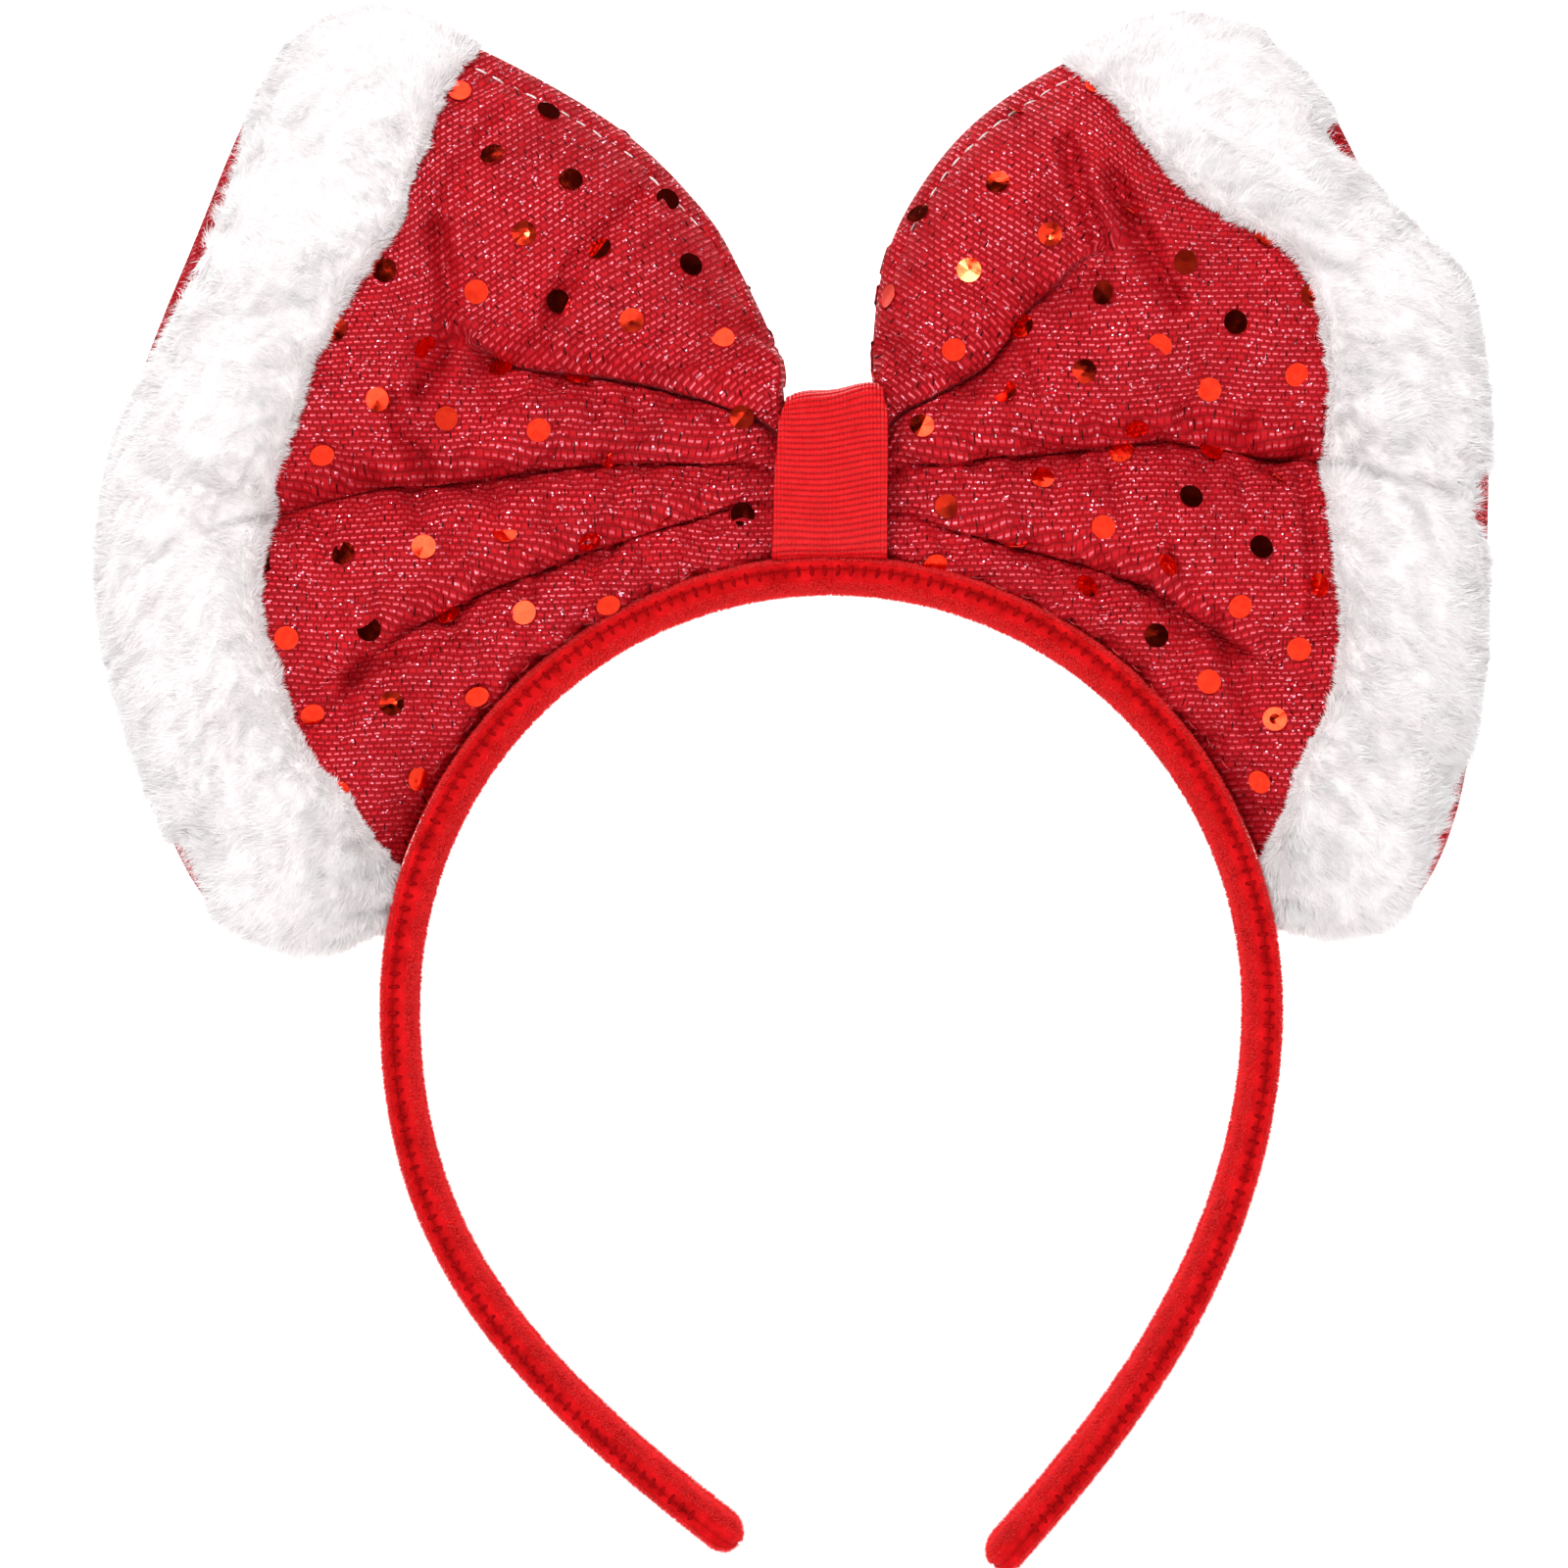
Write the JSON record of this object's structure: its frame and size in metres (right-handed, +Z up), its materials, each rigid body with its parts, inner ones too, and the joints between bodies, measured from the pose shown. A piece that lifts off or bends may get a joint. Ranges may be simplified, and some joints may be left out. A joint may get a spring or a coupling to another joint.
{
  "type": "bow headband",
  "caption": "Dress-up headband: a sprung velvet-covered band with a padded bow of spangled red cloth, plush-edged ends and a ribbon knot.",
  "frame": {"origin": "top of the head: the middle of the crown lining's inner face, which rests on the wearer", "axes": "+X to the wearer's left (the right of the front view), +Y to the back of the head, +Z up"},
  "size_m": [0.2149, 0.0245, 0.2389],
  "materials": {
    "velvet": "matte",
    "core_plastic": "satin",
    "spangled_cloth": "satin",
    "wadding": "matte",
    "plush": "matte",
    "grosgrain": "satin",
    "white_thread": "satin",
    "red_thread": "satin",
    "hot_glue": "gloss"
  },
  "bodies": {
    "crown": {"crown_core": "core_plastic", "crown_lining": "velvet", "crown_cover": "velvet", "bow_front_panel": "spangled_cloth", "bow_back_panel": "spangled_cloth", "left_wadding": "wadding", "left_fur_trim": "plush", "left_top_stitching": "white_thread", "left_band_stitching": "red_thread", "left_fur_stitching": "white_thread", "right_wadding": "wadding", "right_fur_trim": "plush", "right_top_stitching": "white_thread", "right_band_stitching": "red_thread", "right_fur_stitching": "white_thread", "gather_thread": "red_thread", "knot_ribbon": "grosgrain", "glue_pad": "hot_glue"},
    "left_leg": {"left_leg_core": "core_plastic", "left_leg_lining": "velvet", "left_leg_cover": "velvet"},
    "right_leg": {"right_leg_core": "core_plastic", "right_leg_lining": "velvet", "right_leg_cover": "velvet"}
  },
  "joints": [
    {"name": "left_flex", "type": "hinge", "parent": "crown", "child": "left_leg", "pos_m": [-0.0659, 0, -0.063], "axis": [0, 1, 0], "range_deg": [-6, 24], "stiffness_Nm_per_rad": 0.5},
    {"name": "right_flex", "type": "hinge", "parent": "crown", "child": "right_leg", "pos_m": [0.0659, 0, -0.063], "axis": [0, -1, 0], "range_deg": [-6, 24], "stiffness_Nm_per_rad": 0.5}
  ]
}
